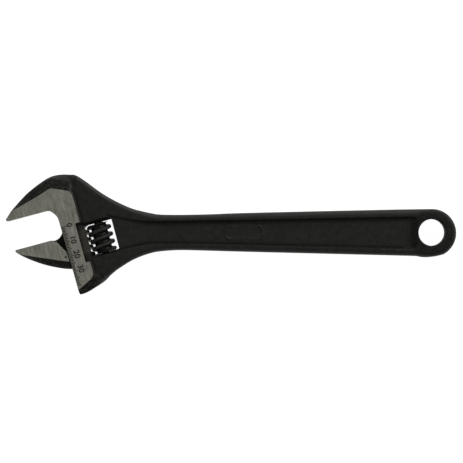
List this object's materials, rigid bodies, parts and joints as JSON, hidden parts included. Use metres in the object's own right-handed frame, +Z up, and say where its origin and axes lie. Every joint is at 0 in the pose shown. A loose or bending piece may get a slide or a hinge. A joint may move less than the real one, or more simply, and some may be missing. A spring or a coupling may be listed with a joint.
{
  "type": "adjustable wrench",
  "caption": "Open-ended adjustable wrench with a tilted head, sliding lower jaw moved by a thumb worm, flat ribbed handle and a hang hole.",
  "frame": {"origin": "centre of the bounding box on the surface that the wrench lies on, jaws 20 mm open", "axes": "+X along the handle away from the jaws, +Y from the movable jaw's side to the fixed jaw's side, +Z up through the thickness"},
  "size_m": [0.3001, 0.0795, 0.018],
  "materials": {
    "black_body": "matt black phosphate over forged steel",
    "ground_jaw": "black phosphate with ground faces, fine streaks",
    "worm": "blackened steel, knurled crests",
    "pin": "turned steel, darkened",
    "spring": "drawn spring wire"
  },
  "bodies": {
    "body": {"wrench_body": "black_body", "worm_pin": "pin", "worm_spring": "spring"},
    "jaw": {"movable_jaw": "ground_jaw"},
    "worm": {"worm_knurl": "worm"}
  },
  "joints": [
    {"name": "jaw_slide", "type": "slide", "parent": "body", "child": "jaw", "axis": [0.2588, -0.9659, 0], "range_m": [-0.01998, 0.016]},
    {"name": "worm_spin", "type": "hinge", "parent": "body", "child": "worm", "pos_m": [-0.08675, -0.00213, 0.009], "axis": [-0.2588, 0.9659, 0], "range_deg": [-1440, 1155]}
  ],
  "couplings": [
    {"joint": "worm_spin", "follows": "jaw_slide", "rad_per_m": 1256.6}
  ]
}
